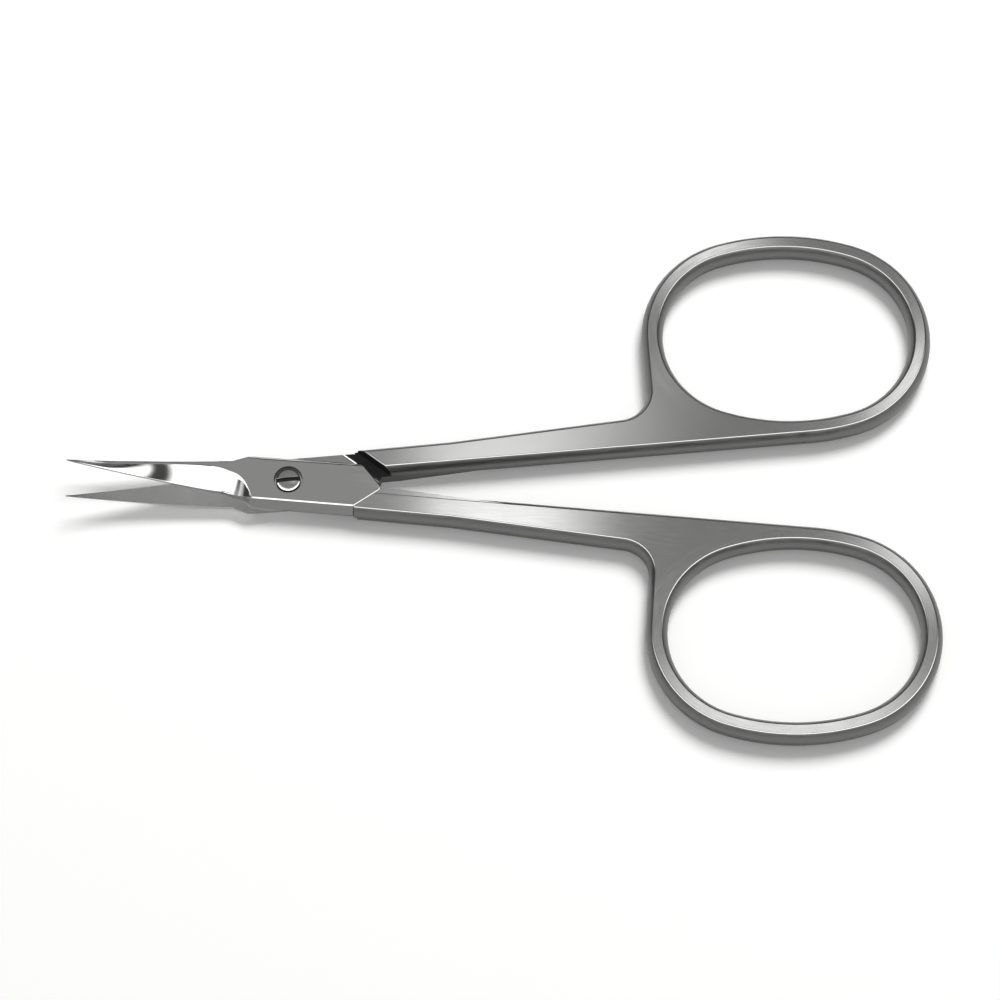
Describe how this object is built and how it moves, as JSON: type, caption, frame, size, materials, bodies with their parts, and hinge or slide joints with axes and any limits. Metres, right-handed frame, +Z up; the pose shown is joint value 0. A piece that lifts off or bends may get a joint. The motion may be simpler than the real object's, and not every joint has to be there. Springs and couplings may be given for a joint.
{
  "type": "cuticle scissors",
  "caption": "Small cuticle scissors: slim pointed blades that curve upward, a screwed lap joint, straight shanks and large oval finger rings.",
  "frame": {"origin": "on the pivot axis, in the plane of the underside on which the scissors lie", "axes": "+X runs from the blade tips to the finger rings along the line between the two halves, +Z is up through the pivot, the way the blades curve, +Y is toward the ring of the rear half"},
  "size_m": [0.0892, 0.0566, 0.0037],
  "materials": {
    "front_steel": "satin, blade face polished",
    "rear_steel": "satin",
    "screw_steel": "turned, lightly polished"
  },
  "bodies": {
    "rear": {"rear_half": "rear_steel", "pivot_screw": "screw_steel"},
    "front": {"front_half": "front_steel"}
  },
  "joints": [
    {"name": "pivot", "type": "hinge", "parent": "rear", "child": "front", "pos_m": [0, 0, 0], "axis": [0, 0, -1], "range_deg": [-10, 110]}
  ]
}
